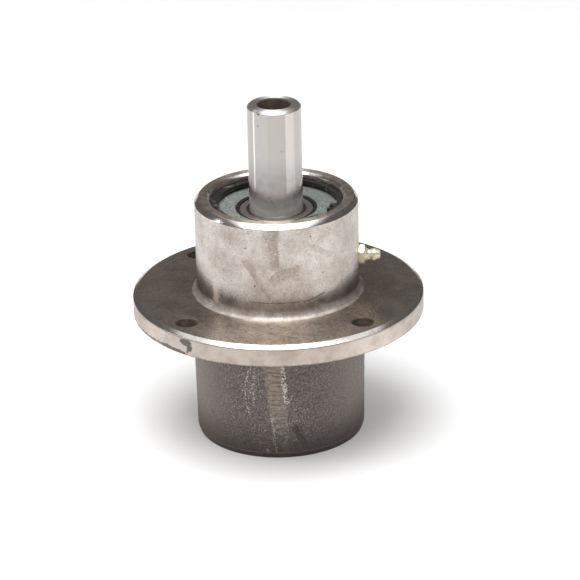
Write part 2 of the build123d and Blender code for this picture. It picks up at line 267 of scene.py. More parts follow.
    def bump(self, height, depth, under=None):
        """Relief of this many millimetres between a height of 0 and of 1."""
        made = self.node("ShaderNodeBump")
        made.inputs["Strength"].default_value = 1.0
        made.inputs["Distance"].default_value = depth * MM
        self.feed(made.inputs["Height"], height)
        self.feed(made.inputs["Normal"], under)
        return made.outputs[0]

    def set(self, **values):
        names = {"color": "Base Color", "rough": "Roughness", "metal": "Metallic", "normal": "Normal",
                 "specular": "Specular IOR Level", "coat": "Coat Weight", "coat_rough": "Coat Roughness",
                 "anisotropic": "Anisotropic"}
        for key, value in values.items():
            self.feed(self.shader.inputs[names[key]], value)
        return self.material


def machined_tube(colours):
    """Turned cast iron, with brown tide marks, fine specks and tool lines, and painted shade and painted dark
    reflection of the flange low down.
    """
    skin = Finish("machined_tube")
    radius = 43.65
    flat = skin.unrolled(radius)
    loose = skin.unrolled(radius, 1.6, 5.0)
    tight = skin.unrolled(radius, 0.5, 2.0)
    height = skin.split(flat)[1]
    cloud = skin.between(skin.noise(15, 5, 0.65), 0.36, 0.66)
    patches = skin.between(skin.noise(4.5, 5, 0.7, seed=6.5), 0.42, 0.68)
    fine = skin.noise(0.55, 3, 0.75, seed=3.1)
    pepper = skin.noise(0.9, 4, 0.8, seed=8.6)
    base = skin.mix(skin.part_of(cloud, 0.34), colours.machined, colours.stain)
    base = skin.mix(skin.part_of(patches, 0.2), base, colours.stain)
    stains = skin.either(
        skin.tide(loose, (2.6, 109.5), (2.6, 131.5), 11.0, 0.45),
        skin.part_of(skin.tide(loose, (-17.3, 112.5), (-3.4, 91.5), 7.0, 0.5), 0.95),
        skin.part_of(skin.tide(loose, (2.8, 108.8), (-2.8, 103.2), 10.0, 0.5), 0.9),
        skin.part_of(skin.tide(loose, (13.5, 111.2), (2.8, 108.8), 12.0, 0.5), 0.75),
        skin.part_of(skin.spot(loose, (-22.5, 126), 5.5, 6.5, 0.9), 0.7),
        skin.part_of(skin.spot(loose, (-27, 108), 8, 7, 0.9), 0.45),
        skin.part_of(skin.tide(loose, (34, 114), (20, 122), 5.0, 0.6), 0.6),
        skin.part_of(skin.spot(loose, (-36, 113), 6.0, 10.0, 0.9), 0.5),
        skin.part_of(skin.spot(loose, (39, 103), 8.0, 7.0, 0.9), 0.5),
        skin.part_of(skin.spot(loose, (-2, 96), 11.0, 5.0, 0.9), 0.5),
    )
    worn = skin.between(skin.noise(1.5, 5, 0.75, seed=1.3), 0.3, 0.62, 0.3, 1.0)
    base = skin.mix(skin.part_of(skin.both(stains, worn), 0.66), base, colours.stain)
    blotches = skin.both(skin.between(skin.noise(2.4, 6, 0.8, seed=15.0), 0.52, 0.66), skin.between(skin.noise(11, 3, 0.6, seed=16.0), 0.42, 0.6))
    base = skin.mix(skin.part_of(blotches, 0.32), base, colours.stain)
    base = skin.mix(skin.part_of(skin.between(fine, 0.48, 0.68), 0.42), base, colours.grime_and_shade)
    base = skin.mix(skin.part_of(skin.between(pepper, 0.56, 0.68), 0.6), base, colours.grime_and_shade)
    dots = skin.either(
        skin.spot(tight, (-15, 120), 0.5, 0.5), skin.spot(tight, (-10.4, 99.2), 0.5, 0.6),
        skin.spot(tight, (20, 125.8), 0.4, 0.4), skin.spot(tight, (-13.2, 128.6), 0.3, 0.3),
        skin.spot(tight, (27, 104), 0.35, 0.4), skin.spot(tight, (6.5, 97.5), 0.3, 0.3),
        skin.spot(tight, (-24, 121.5), 0.35, 0.35), skin.spot(tight, (-30, 117), 0.3, 0.35),
    )
    base = skin.mix(skin.part_of(dots, 0.85), base, colours.grime_and_shade)
    # Painted shade: the tube darkens towards the flange, standing in for the shade and dark reflection there.
    low = skin.both(skin.between(height, 83, 97, 1.0, 0.0), skin.between(skin.noise(4, 5, 0.7, seed=4.0), 0.3, 0.6, 0.35, 1.0))
    base = skin.mix(skin.part_of(low, 0.5), base, colours.grime_and_shade)
    # Painted reflection: the lower left and right sides darken further, as if mirroring the dark flange.
    sides = skin.both(skin.between(skin.math("ABSOLUTE", skin.split(flat)[0]), 26, 52), skin.between(height, 84, 101, 1.0, 0.0))
    base = skin.mix(skin.part_of(sides, 0.5), base, colours.grime_and_shade)
    scuff = skin.both(skin.stroke(tight, (-13, 90.0), (19, 89.8), 0.25, 0.6), skin.between(skin.noise(3.0, 2, 0.5, seed=5.5), 0.3, 0.5, 0.4, 1.0))
    scuff = skin.either(scuff, skin.part_of(skin.stroke(tight, (19, 89.8), (28, 92.4), 0.22, 0.6), 0.8))
    base = skin.mix(skin.part_of(scuff, 0.8), base, colours.grime_and_shade)
    turning = skin.noise(0.35, 3, 0.6, stretch=(60, 60, 1))
    rough = skin.either(skin.between(height, 84, 108, 0.17, 0.38), skin.between(height, 82.5, 87, 0.52, 0.1))
    polish = skin.both(skin.between(height, 82.5, 87), skin.between(height, 88, 106, 1.0, 0.0))
    metal = skin.between(polish, 0.0, 1.0, 0.5, 0.92, smooth=False)
    grain = skin.bump(turning, 0.006, skin.bump(fine, 0.012, skin.bump(scuff, -0.1)))
    return skin.set(color=base, rough=rough, metal=metal, normal=grain)


def rim_face(colours):
    """Flat turned rim: brown grey, with tool rings and a few brighter rubs."""
    skin = Finish("rim_face")
    x, y, z = skin.split(skin.place)
    away = skin.vector("LENGTH", skin.join(x, y, 0.0))
    rings = skin.noise(0.3, 2, 0.6, place=skin.join(away, 0.0, 0.0))
    cloud = skin.between(skin.noise(5, 4, 0.6), 0.35, 0.7)
    base = skin.mix(skin.part_of(cloud, 0.45), colours.rim, colours.grime_and_shade)
    base = skin.mix(skin.part_of(skin.between(skin.noise(0.8, 3, 0.6, seed=5.0), 0.58, 0.75), 0.4), base, colours.machined)
    skin.turned(0.8)
    return skin.set(color=base, rough=0.38, metal=0.88, normal=skin.bump(rings, 0.004))


def bright_cut(colours):
    """Chamfers cut bright, with fine tool lines and a little tarnish."""
    skin = Finish("bright_cut")
    tarnish = skin.between(skin.noise(4.0, 3, 0.6), 0.48, 0.72)
    base = skin.mix(skin.part_of(tarnish, 0.35), colours.bright_cut, colours.grime_and_shade)
    rough = skin.between(tarnish, 0.0, 1.0, 0.17, 0.26)
    return skin.set(color=base, rough=rough, metal=0.97, normal=skin.bump(skin.noise(0.9, 3, 0.6), 0.002))


def mouth_cut(colours):
    """Chamfer inside the rim: bright at the back, rougher towards the front and darkened there with painted shade."""
    skin = Finish("mouth_cut")
    x, y, z = skin.split(skin.place)
    # Painted shade: everything in front of this wavy line across the chamfer is darkened.
    grease = skin.math("ADD", y, skin.math("MULTIPLY", skin.math("SUBTRACT", skin.noise(5, 4, 0.7), 0.5), 0.05))
    dull = skin.between(grease, -0.006, 0.016, 1.0, 0.0)
    base = skin.mix(skin.part_of(dull, 0.8), colours.bright_cut, colours.grime_and_shade)
    base = skin.mix(skin.part_of(skin.between(skin.noise(2.5, 4, 0.7, seed=5.0), 0.5, 0.65), 0.5), base, colours.grime_and_shade)
    return skin.set(color=base, rough=skin.between(dull, 0.0, 1.0, 0.2, 0.5), metal=skin.between(dull, 0.0, 1.0, 0.97, 0.3))


def bore_wall(colours):
    """Bored inner walls under a film of old grease."""
    skin = Finish("bore_wall")
    film = skin.between(skin.noise(5, 4, 0.6), 0.4, 0.7)
    base = skin.mix(skin.part_of(film, 0.5), colours.rim, colours.grime_and_shade)
    lines = skin.noise(0.5, 2, 0.6, stretch=(60, 60, 1))
    base = skin.mix(skin.part_of(skin.between(lines, 0.5, 0.6), 0.4), base, colours.grime_and_shade)
    return skin.set(color=base, rough=0.34, metal=0.75, normal=skin.bump(lines, 0.02))


def drilled_hole(name, colours):
    """Wall of a drilled hole, brown with old grease and rust, and made dark and dull as painted shade inside the hole.
    """
    skin = Finish(name)
    film = skin.between(skin.noise(4, 4, 0.6), 0.4, 0.7)
    # The dark base colour is partly rust and grease and partly painted shade inside the hole.
    base = skin.mix(skin.part_of(film, 0.3), colours.grime_and_shade, colours.stain)
    return skin.set(color=base, rough=0.62, metal=0.15, specular=0.25, normal=skin.bump(skin.noise(0.8, 3, 0.6), 0.02))


def flange_face(colours):
    """Faced flange, dark with dust, light specks and a rust mark by the back left hole."""
    skin = Finish("flange_face")
    x, y, z = skin.split(skin.place)
    away = skin.vector("LENGTH", skin.join(x, y, 0.0))
    rings = skin.noise(0.4, 2, 0.6, place=skin.join(away, 0.0, 0.0))
    cloud = skin.between(skin.noise(14, 3, 0.55), 0.35, 0.7)
    base = skin.mix(skin.part_of(cloud, 0.3), colours.flange_top, colours.grime_and_shade)
    base = skin.mix(skin.part_of(skin.between(skin.noise(5, 3, 0.6, seed=3.0), 0.45, 0.7), 0.15), base, colours.grime_and_shade)
    plan = skin.scaled(skin.place, 1000.0)
    wavy = skin.vector("ADD", plan, skin.scaled(skin.vector("SUBTRACT", skin.noise(3, 3, 0.6, out="Color"), (0.5, 0.5, 0.5)), 3.0))
    smear = skin.either(skin.stroke(wavy, (-30, -61), (6, -66), 2.2, 0.9), skin.part_of(skin.stroke(wavy, (-44, -52), (-26, -58), 1.4, 0.9), 0.6))
    base = skin.mix(skin.part_of(smear, 0.55), base, colours.flange_side)
    dust = skin.between(skin.noise(0.55, 3, 0.7, seed=9.0), 0.6, 0.72)
    base = skin.mix(skin.part_of(dust, 0.25), base, colours.flange_side)
    motes = skin.between(skin.noise(1.0, 1, 0.5, seed=4.0), 0.735, 0.755)
    base = skin.mix(skin.part_of(motes, 0.8), base, colours.chalk)
    rust = skin.both(skin.stroke(wavy, (-61, 36), (-53.5, 39.5), 1.9, 0.7), skin.between(z, 0.0795, 0.0800))
    base = skin.mix(skin.part_of(rust, 0.85), base, colours.rust)
    rough = skin.between(skin.noise(2.5, 3, 0.6), 0.3, 0.7, 0.25, 0.33)
    skin.turned(0.8)
    return skin.set(color=base, rough=rough, metal=0.88,
                    normal=skin.bump(rings, 0.003))


def flange_edge(colours):
    """Turned edge of the flange, pale, with a brown stain at the front left and a dark lower border."""
    skin = Finish("flange_edge")
    radius = 78.15
    flat = skin.unrolled(radius)
    loose = skin.unrolled(radius, 1.0, 3.0)
    height = skin.split(loose)[1]
    cloud = skin.between(skin.noise(9, 4, 0.6), 0.4, 0.7)
    base = skin.mix(skin.part_of(cloud, 0.35), colours.flange_side, colours.stain)
    base = skin.mix(skin.part_of(skin.between(skin.noise(0.8, 4, 0.7, seed=6.0), 0.55, 0.75), 0.35), base, colours.grime_and_shade)
    crisp = skin.unrolled(radius, 1.5, 2.0)
    stain = skin.either(
        skin.spot(crisp, (-49.0, 76.3), 3.9, 1.9, 0.12), skin.spot(crisp, (-46.8, 73.6), 1.9, 2.0, 0.12),
        skin.spot(crisp, (-48.0, 71.2), 1.0, 0.9, 0.15), skin.stroke(crisp, (-66, 70.6), (-50, 69.8), 1.0, 0.15),
        skin.stroke(crisp, (-84, 70.1), (-64, 70.3), 0.6, 0.15), skin.stroke(crisp, (-112, 69.5), (-84, 69.9), 0.4, 0.2),
    )
    base = skin.mix(skin.part_of(stain, 0.8), base, colours.grime_and_shade)
    border = skin.either(skin.between(height, 69.3, 69.9, 1.0, 0.0), skin.stroke(flat, (-250, 78.3), (250, 78.3), 0.22, 0.7))
    base = skin.mix(skin.part_of(border, 0.5), base, colours.grime_and_shade)
    turning = skin.noise(0.3, 3, 0.6, stretch=(80, 80, 1))
    return skin.set(color=base, rough=0.36, metal=0.7, normal=skin.bump(turning, 0.008))


def cast_skin(colours):
    """Rough cast iron: fine grey brown grain, a ground strip down the front, chalky marks, specks and pits, with a
    painted sheen on its sides, painted shade at the foot and a painted highlight along the foot's edge.
    """
    skin = Finish("cast_skin")
    radius = 45.9
    flat = skin.unrolled(radius)
    loose = skin.unrolled(radius, 1.3, 2.2)
    u, height, unused = skin.split(flat)
    grit = skin.noise(0.9, 3, 0.8)
    fine = skin.noise(0.4, 2, 0.7, seed=1.0)
    cloud = skin.between(skin.noise(13, 4, 0.6, seed=4.4), 0.35, 0.68)
    base = skin.mix(skin.between(grit, 0.38, 0.62), colours.cast_dark, colours.cast_light)
    base = skin.mix(skin.part_of(skin.between(fine, 0.45, 0.65), 0.35), base, colours.cast_dark)
    pale = skin.both(skin.between(skin.noise(0.9, 2, 0.6, seed=31.0), 0.56, 0.66), skin.between(skin.noise(0.5, 2, 0.6, seed=32.0), 0.45, 0.6))
    base = skin.mix(skin.part_of(pale, 0.5), base, skin.scaled(colours.cast_light[:3], 2.2))
    base = skin.mix(skin.part_of(cloud, 0.2), base, colours.cast_dark)
    # Painted sheen: the left and right sides are lightened, as if catching grazing reflections.
    sides = skin.between(skin.math("ABSOLUTE", u), 18, 52)
    base = skin.mix(skin.part_of(sides, 0.45), base, skin.scaled(colours.cast_light[:3], 1.35))
    pits = skin.between(skin.noise(1.6, 2, 0.6, seed=21.0), 0.7, 0.76)
    base = skin.mix(skin.part_of(pits, 0.45), base, colours.grime_and_shade)
    # the strip leans a little to the right on its way down, and its left side is worn off near the foot
    centre = skin.between(height, 3.5, 54.0, 4.2, -2.4, smooth=False)
    half = skin.between(height, 6.0, 30.0, 2.4, 4.6, smooth=False)
    ragged = skin.between(skin.noise(0.9, 4, 0.8, seed=2.5), 0.2, 0.8, -1.3, 1.3, smooth=False)
    away = skin.math("ADD", skin.math("ABSOLUTE", skin.math("SUBTRACT", u, centre)), ragged)
    strip = skin.both(skin.between(skin.math("SUBTRACT", away, half), -0.4, 0.3, 1.0, 0.0), skin.between(height, 58, 63, 1.0, 0.0),
                      skin.between(height, 2.0, 14.0, 0.5, 1.0))
    lines = skin.noise(0.6, 3, 0.75, stretch=(9, 9, 1))
    ground = skin.mix(skin.part_of(skin.between(lines, 0.47, 0.58), 0.75), colours.ground, colours.cast_dark)
    ground = skin.mix(skin.part_of(skin.between(skin.noise(2.5, 4, 0.7, seed=8.0), 0.46, 0.62), 0.5), ground, colours.cast_dark)
    worn = skin.either(skin.between(height, 12, 32), skin.between(skin.noise(2.2, 4, 0.7, seed=18.0), 0.44, 0.56))
    base = skin.mix(skin.part_of(skin.both(strip, worn), 0.85), base, ground)
    beads = skin.between(skin.noise(0.7, 2, 0.6, seed=11.0), 0.49, 0.57)
    marks = skin.either(
        skin.stroke(loose, (-13.2, 55), (-16.9, 44.5), 0.42, 0.5), skin.stroke(loose, (-16.9, 44.5), (-17.0, 34.0), 0.36, 0.5),
        skin.part_of(skin.stroke(loose, (-17.0, 32), (-15.3, 25.5), 0.4, 0.5), 0.7),
        skin.part_of(skin.either(
            skin.stroke(loose, (-11.6, 50.4), (-12.2, 44), 0.5, 0.5), skin.stroke(loose, (-12.2, 44), (-14.4, 38.5), 0.45, 0.5),
            skin.stroke(loose, (-12.4, 38), (-12.6, 31.5), 0.5, 0.5),
        ), 0.75),
        skin.stroke(loose, (3.3, 55), (4.6, 36), 1.25, 0.4), skin.spot(loose, (5.3, 33.6), 1.9, 1.5, 0.4),
        skin.spot(loose, (8.2, 35.6), 0.8, 1.0, 0.4), skin.stroke(loose, (-3.2, 26), (-0.6, 3.5), 0.5, 0.5),
        skin.spot(loose, (-5.4, 4.6), 1.1, 1.1, 0.6),
    )
    around = skin.either(
        skin.spot(flat, (-6, 12), 9, 13, 0.6), skin.spot(flat, (11, 22), 7, 12, 0.6),
        skin.part_of(skin.spot(flat, (-17, 40), 12, 20, 0.6), 0.9), skin.part_of(skin.spot(flat, (2, 14), 20, 14, 0.6), 0.8),
    )
    dots = skin.noise(0.6, 1, 0.5, seed=13.0)
    specks = skin.both(skin.between(dots, 0.655, 0.695), around)
    stray = skin.both(skin.between(dots, 0.75, 0.77), skin.between(height, 4, 8))
    chalk = skin.either(skin.both(marks, beads), specks, skin.part_of(stray, 0.8))
    base = skin.mix(skin.part_of(chalk, 0.85), base, colours.chalk)
    smudge = skin.either(skin.stroke(loose, (10, 17), (16, 6), 2.4, 0.7), skin.spot(flat, (24, 5.6), 1.0, 0.9, 0.3))
    # Painted shade: darker towards the foot; the smudges mixed in with it are real marks.
    low = skin.between(height, 1.0, 26.0, 1.0, 0.0)
    base = skin.mix(skin.part_of(skin.either(smudge, low), 0.75), base, (0.035, 0.028, 0.024, 1))
    # Painted shade on the foot chamfer, which faces the floor.
    foot = skin.between(height, 2.5, 3.0, 1.0, 0.0)
    base = skin.mix(skin.part_of(foot, 0.5), base, (0.03, 0.027, 0.024, 1))
    # Painted highlight: a thin light line along the edge above the foot chamfer.
    base = skin.mix(skin.part_of(skin.stroke(flat, (-150, 3.3), (150, 3.3), 0.25, 0.6), 0.3), base, colours.cast_light)
    grain = skin.bump(skin.mix(strip, grit, lines), 0.09, skin.bump(fine, 0.04))
    rough = skin.between(strip, 0.0, 1.0, 0.56, 0.42)
    return skin.set(color=base, rough=rough, metal=0.35, normal=grain)


def ground_shaft(colours):
    """Ground steel shaft: the grinding rings draw its reflections out along it; painted shade darkens its lower part,
    and there are a hairline mark, a nick and specks.
    """
    skin = Finish("ground_shaft")
    radius = 14.2875
    flat = skin.unrolled(radius)
    height = skin.split(flat)[1]
    # Painted shade: the lower part of the shaft darkens, standing in for its reflection of the dark rim and recess.
    haze = skin.both(skin.between(height, 143, 161, 1.0, 0.0), skin.between(skin.noise(3, 4, 0.6), 0.25, 0.65, 0.7, 1.0))
    base = skin.mix(skin.part_of(haze, 0.36), colours.steel, colours.grime_and_shade)
    base = skin.mix(skin.part_of(skin.between(skin.noise(0.6, 4, 0.75, stretch=(1, 1, 1.6), seed=2.0), 0.45, 0.75), 0.22), base, colours.rim)
    crack = skin.either(
        skin.stroke(skin.unrolled(radius, 0.35, 1.0), (-3.0, 138.2), (-0.6, 133.6), 0.1, 0.6),
        skin.stroke(skin.unrolled(radius, 0.35, 1.0), (-0.9, 134.2), (0.9, 129.6), 0.09, 0.6),
    )
    nick = skin.either(skin.spot(flat, (-8.2, 183.7), 0.9, 0.55), skin.spot(flat, (4.0, 163.5), 0.3, 0.3), skin.spot(flat, (-8.6, 177), 0.3, 0.35))
    base = skin.mix(skin.part_of(skin.either(crack, nick), 0.85), base, colours.grime_and_shade)
    base = skin.mix(skin.part_of(skin.between(skin.noise(0.5, 2, 0.5, seed=3.0), 0.7, 0.78), 0.4), base, colours.rim)
    film = skin.between(height, 133, 141, 0.55, 0.97)
    skin.turned(0.8)
    return skin.set(color=base, rough=0.15, metal=film)


def shaft_end(colours):
    """Faced end of the shaft and the shoulder by the bushing, with painted shade in the corner."""
    skin = Finish("shaft_end")
    x, y, z = skin.split(skin.place)
    haze = skin.between(skin.noise(2.5, 4, 0.7), 0.4, 0.7)
    base = skin.mix(skin.part_of(haze, 0.35), colours.steel, colours.rim)
    # Painted shade: darker below this height, in the corner by the bushing.
    corner = skin.between(z, 0.1262, 0.1272, 1.0, 0.0)
    base = skin.mix(skin.part_of(corner, 0.85), base, colours.grime_and_shade)
    skin.turned(0.9)
    return skin.set(color=base, rough=0.42, metal=0.92, normal=skin.bump(skin.noise(0.4, 3, 0.6), 0.002))


def plain_steel(name, tint, roughness, ring_depth=0.004):
    """Steel with faint rings about the spindle's axis and a light haze."""
    skin = Finish(name)
    haze = skin.between(skin.noise(4, 4, 0.6), 0.35, 0.7)
    dull = tuple(c * 0.7 for c in tint[:3]) + (1.0,)
    base = skin.mix(skin.part_of(haze, 0.5), tuple(tint), dull)
    rings = skin.noise(0.25, 3, 0.6, stretch=(60, 60, 1))
    rough = skin.between(skin.noise(2.0, 3, 0.6, seed=2.0), 0.3, 0.7, roughness, roughness + 0.1)
    return skin.set(color=base, rough=rough, metal=0.95, normal=skin.bump(rings, ring_depth))


def seal_coat(colours):
    """Greenish grey coating of the seal cases, sandy, with pale specks, more of them on the left."""
    skin = Finish("seal_coat")
    x, y, z = skin.split(skin.place)
    sand = skin.noise(0.45, 3, 0.75)
    cloud = skin.between(skin.noise(6, 5, 0.7, seed=2.0), 0.36, 0.68)
    dull = tuple(c * 0.55 for c in colours.coating[:3]) + (1.0,)
    base = skin.mix(skin.part_of(cloud, 0.5), colours.coating, dull)
    base = skin.mix(skin.part_of(skin.between(sand, 0.4, 0.6), 0.5), base, dull)
    base = skin.mix(skin.part_of(skin.between(skin.noise(0.7, 3, 0.7, seed=4.0), 0.52, 0.66), 0.5), base, colours.machined)
    base = skin.mix(skin.part_of(skin.between(skin.noise(0.9, 3, 0.7, seed=14.0), 0.55, 0.68), 0.6), base, colours.grime_and_shade)
    left = skin.between(x, -0.030, -0.018, 1.0, 0.4)
    base = skin.mix(skin.both(skin.between(skin.noise(0.8, 2, 0.5, seed=6.0), 0.64, 0.7), left), base, colours.chalk)
    return skin.set(color=base, rough=0.5, metal=0.25, normal=skin.bump(sand, 0.03))


def seal_rubber(colours):
    """Matt black rubber with a trace of grease."""
    skin = Finish("seal_rubber")
    wet = skin.between(skin.noise(5, 3, 0.6), 0.4, 0.7, 0.35, 0.6)
    pale = tuple(c * 2.2 + 0.01 for c in colours.rubber[:3]) + (1.0,)
    base = skin.mix(skin.part_of(skin.between(skin.noise(0.8, 3, 0.6), 0.5, 0.75), 0.5), tuple(colours.rubber), pale)
    return skin.set(color=base, rough=wet, specular=0.4, normal=skin.bump(skin.noise(0.6, 3, 0.6, seed=1.0), 0.015))


def phosphate_coat(colours):
    """Dark phosphated spring steel, rubbed pale along its edges in places."""
    skin = Finish("phosphate_coat")
    rub = skin.between(skin.noise(3, 4, 0.6), 0.55, 0.75)
    base = skin.mix(skin.part_of(rub, 0.45), colours.phosphate, colours.rim)
    return skin.set(color=base, rough=0.45, metal=0.6, normal=skin.bump(skin.noise(0.4, 3, 0.6), 0.01))


def zinc_plate(colours):
    """Pale yellow chromated zinc with a faint drift between straw and green."""
    skin = Finish("zinc_plate")
    drift = skin.between(skin.noise(2.4, 3, 0.5), 0.35, 0.65)
    straw = tuple(colours.zinc)
    green = (straw[0] * 0.84, straw[1] * 0.9, straw[2] * 0.78, 1.0)
    base = skin.mix(skin.part_of(drift, 0.6), straw, green)
    return skin.set(color=base, rough=0.3, metal=0.55, normal=skin.bump(skin.noise(0.5, 2, 0.5), 0.003))


FINISHES = {}


def finish(name):
    """The finished material of this name, made the first time it is asked for."""
    if name not in FINISHES:
        colours = bpy.context.scene.spindle_colours
        makers = {
            "machined_tube": machined_tube, "rim_face": rim_face, "bright_cut": bright_cut, "bore_wall": bore_wall,
            "mouth_cut": mouth_cut, "shaft_bore": lambda c: drilled_hole("shaft_bore", c), "hole_wall": lambda c: drilled_hole("hole_wall", c),
            "shaft_end": shaft_end, "ground_shaft": ground_shaft, "flange_face": flange_face, "flange_edge": flange_edge,
            "cast_skin": cast_skin,
            "seal_coat": seal_coat, "seal_rubber": seal_rubber, "phosphate_coat": phosphate_coat, "zinc_plate": zinc_plate,
            "sleeve_steel": lambda c: plain_steel("sleeve_steel", c.sleeve, 0.3),
            "bearing_steel": lambda c: plain_steel("bearing_steel", c.steel, 0.16, 0.002),
            "cage_steel": lambda c: plain_steel("cage_steel", c.bright_cut, 0.34, 0.006),
            "spring_wire": lambda c: plain_steel("spring_wire", c.rim, 0.3),
        }
        FINISHES[name] = makers[name](colours)
    return FINISHES[name]


# ---------------------------------------------------------------- modelling by hand


def put_down_all():
    """Nothing selected and nothing active, so that an operator acts only on what comes next."""
    if bpy.context.object and bpy.context.object.mode != "OBJECT":
        bpy.ops.object.mode_set(mode="OBJECT")
    for piece in list(bpy.context.selected_objects):
        piece.select_set(False)
    bpy.context.view_layer.objects.active = None


def take(piece):
    """Only this piece selected and active."""
    put_down_all()
    piece.select_set(True)
    bpy.context.view_layer.objects.active = piece


def softened(corners):
    """A closed outline from corners of radius, height and edge softness in millimetres, and a step for long runs."""
    points = []
    count = len(corners)
    for index, corner in enumerate(corners):
        r, z, soft = corner[:3]
        step = corner[3] if len(corner) > 3 else None
        before, after = corners[index - 1], corners[(index + 1) % count]
        to_before = (before[0] - r, before[1] - z)
        to_after = (after[0] - r, after[1] - z)
        size_before = (to_before[0] ** 2 + to_before[1] ** 2) ** 0.5
        size_after = (to_after[0] ** 2 + to_after[1] ** 2) ** 0.5
        if soft:
            start = (r + to_before[0] / size_before * soft, z + to_before[1] / size_before * soft)
            end = (r + to_after[0] / size_after * soft, z + to_after[1] / size_after * soft)
            parts = 3 if soft < 1 else 8
            for part in range(parts + 1):
                s = part / parts
                points.append(tuple((1 - s) ** 2 * start[k] + 2 * s * (1 - s) * (r, z)[k] + s**2 * end[k] for k in (0, 1)))
        else:
            points.append((r, z))
        if step:
            last = points[-1]
            gap = after[2]
            run = size_after - soft - gap
            for part in range(1, int(run // step)):
                s = part * step / run
                points.append((last[0] + to_after[0] / size_after * run * s, last[1] + to_after[1] / size_after * run * s))
    return [(r * MM, z * MM) for r, z in points]


def spun(name, corners, sides, first=0.0, last=360.0):
    """A piece turned about the Z axis: its outline is drawn corner by corner and spun into a closed shell, or part of one."""
    outline = softened(corners)
    put_down_all()
    bpy.ops.mesh.primitive_plane_add(size=MM, location=(0, 0, 0))
    piece = bpy.context.object
    piece.name = name
    bpy.ops.object.mode_set(mode="EDIT")
    bpy.ops.mesh.select_all(action="SELECT")
    bpy.ops.mesh.merge(type="CENTER")
    bpy.ops.transform.translate(value=(outline[0][0], 0, outline[0][1]))
    for here, there in zip(outline, outline[1:] + outline[:1]):
        bpy.ops.mesh.extrude_vertices_move(TRANSFORM_OT_translate={"value": (there[0] - here[0], 0, there[1] - here[1])})
    bpy.ops.mesh.select_all(action="SELECT")
    bpy.ops.mesh.remove_doubles(threshold=1e-6)
    bpy.ops.mesh.select_all(action="SELECT")
    bpy.ops.mesh.spin(steps=sides, angle=radians(last - first), center=(0, 0, 0), axis=(0, 0, 1))
    close_up()
    bpy.ops.object.mode_set(mode="OBJECT")
    if first:
        # the operator spins clockwise, so the part of a turn runs back from its last angle
        piece.rotation_euler = (0, 0, radians(last))
        settle(piece)
    return piece


def close_up():
    """In edit mode: doubles merged, then every face turned outwards."""
    bpy.ops.mesh.select_all(action="SELECT")
    bpy.ops.mesh.remove_doubles(threshold=2e-6)
    bpy.ops.mesh.normals_make_consistent(inside=False)


def settle(piece):
    """The piece's place goes into its mesh, so that its object sits at the origin, unturned and unscaled."""
    take(piece)
    bpy.ops.object.transform_apply(location=True, rotation=True, scale=True)


def cut_away(piece, cutter):
    """Boolean cut, after which the cutter is thrown away."""
    take(piece)
    bpy.ops.object.modifier_add(type="BOOLEAN")
    tool = piece.modifiers[-1]
    tool.operation = "DIFFERENCE"
    tool.solver = "EXACT"
    tool.object = cutter
    bpy.ops.object.modifier_apply(modifier=tool.name)
    bpy.data.objects.remove(cutter, do_unlink=True)


def smooth(piece, degrees=32):
    take(piece)
    bpy.ops.object.shade_smooth_by_angle(angle=radians(degrees))


def lay_on(piece, name, where=None):
    """This finish goes on the faces whose centre and normal pass the test, or on all of them."""
    take(piece)
    piece.data.materials.append(finish(name))
    piece.active_material_index = len(piece.data.materials) - 1
    bpy.context.tool_settings.mesh_select_mode = (False, False, True)
    bpy.ops.object.mode_set(mode="EDIT")
    bpy.ops.mesh.select_all(action="DESELECT")
    bpy.ops.object.mode_set(mode="OBJECT")
    for face in piece.data.polygons:
        face.select = where is None or where(face.center, face.normal)
    bpy.ops.object.mode_set(mode="EDIT")
    bpy.ops.object.material_slot_assign()
    bpy.ops.object.mode_set(mode="OBJECT")
    bpy.context.tool_settings.mesh_select_mode = (True, False, False)


def solid_copy(node, name):
    """A bare copy of a solid's mesh, with its doubles merged, left selected."""
    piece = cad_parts[node].copy()
    piece.data = piece.data.copy()
    piece.name = name
    piece.parent = None
    bpy.context.collection.objects.link(piece)
    piece.data.materials.clear()
    take(piece)
    bpy.ops.object.mode_set(mode="EDIT")
    bpy.ops.mesh.select_all(action="SELECT")
    bpy.ops.mesh.remove_doubles(threshold=2e-6)
    bpy.ops.object.mode_set(mode="OBJECT")
    return piece


def turned_over(piece, name):
    """A copy with its own mesh for the lower end: half a turn about an X line through the housing's middle."""
    take(piece)
    bpy.ops.object.duplicate()
    other = bpy.context.object
    other.name = name
    bpy.ops.transform.rotate(value=pi, orient_axis="X", center_override=(0, 0, MID_Z))
    settle(other)
    return other


def seat(piece, body, node):
    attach(piece, body)
    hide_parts(node)


def away_from_axis(point):
    return (point.x**2 + point.y**2) ** 0.5 / MM


# ---------------------------------------------------------------- pieces


